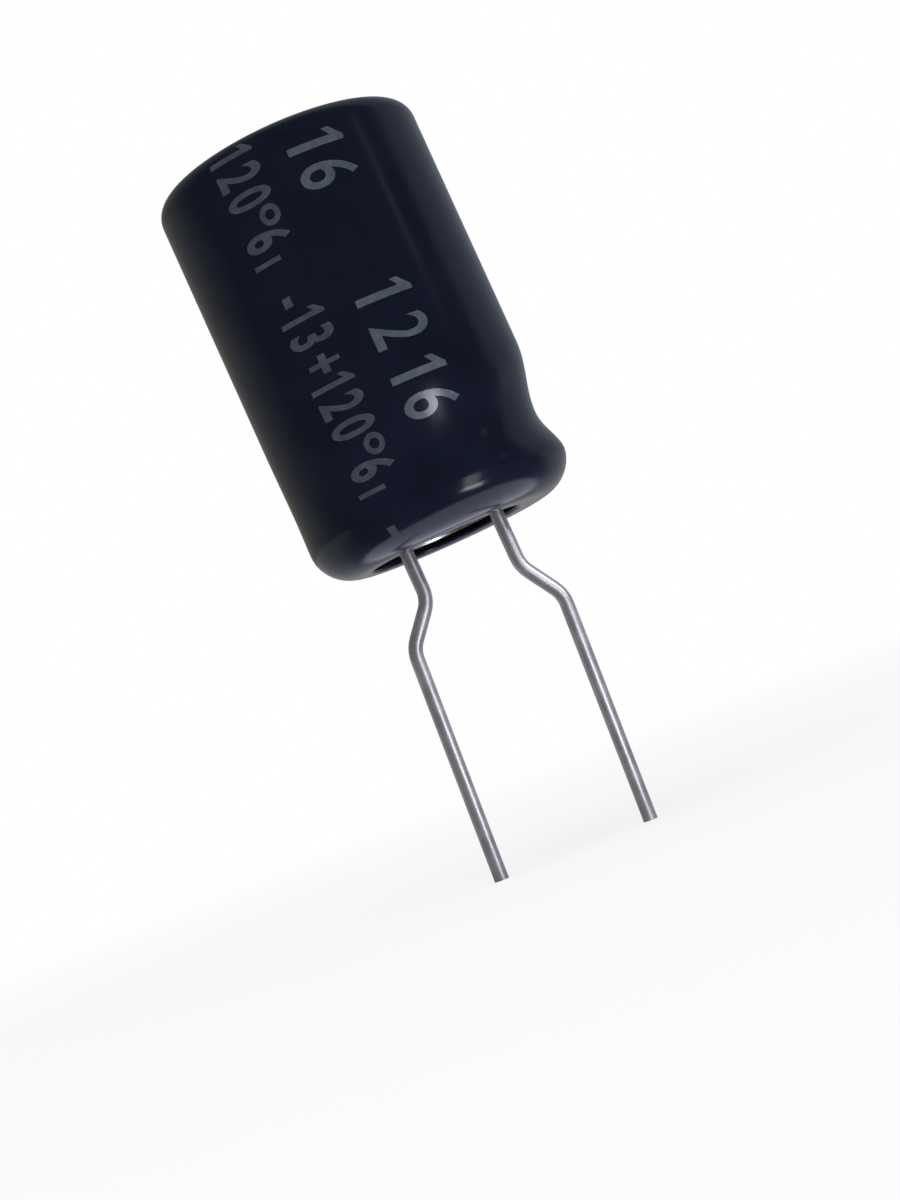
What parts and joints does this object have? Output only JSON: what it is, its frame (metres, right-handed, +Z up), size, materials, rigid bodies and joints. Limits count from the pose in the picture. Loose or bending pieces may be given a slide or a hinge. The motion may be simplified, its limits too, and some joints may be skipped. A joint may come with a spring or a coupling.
{
  "type": "electrolytic capacitor",
  "caption": "Radial electrolytic capacitor: sleeved round can with a rolled neck, rubber bung and two kinked leads for a through-hole board.",
  "frame": {"origin": "midway between the two leads at the board's upper face", "axes": "+Z up from the board along the straight runs of the leads, +X from the left lead to the right lead, and the can leans 3.4 degrees towards -X"},
  "size_m": [0.0091, 0.0084, 0.0233],
  "materials": {
    "film": "glossy shrunk film",
    "print_large": "blue-grey ink",
    "print_small": "dim blue-grey ink",
    "can_metal": "drawn",
    "bung_rubber": "matt",
    "tinned_wire": "tinned",
    "tab_metal": "plain",
    "paper": "soaked paper",
    "tape": "plain"
  },
  "bodies": {
    "root": {"sleeve": "film", "can": "can_metal", "bung": "bung_rubber", "anode_lead": "tinned_wire", "cathode_lead": "tinned_wire", "anode_tab": "tab_metal", "cathode_tab": "tab_metal", "winding": "paper", "winding_tape": "tape"}
  },
  "joints": []
}
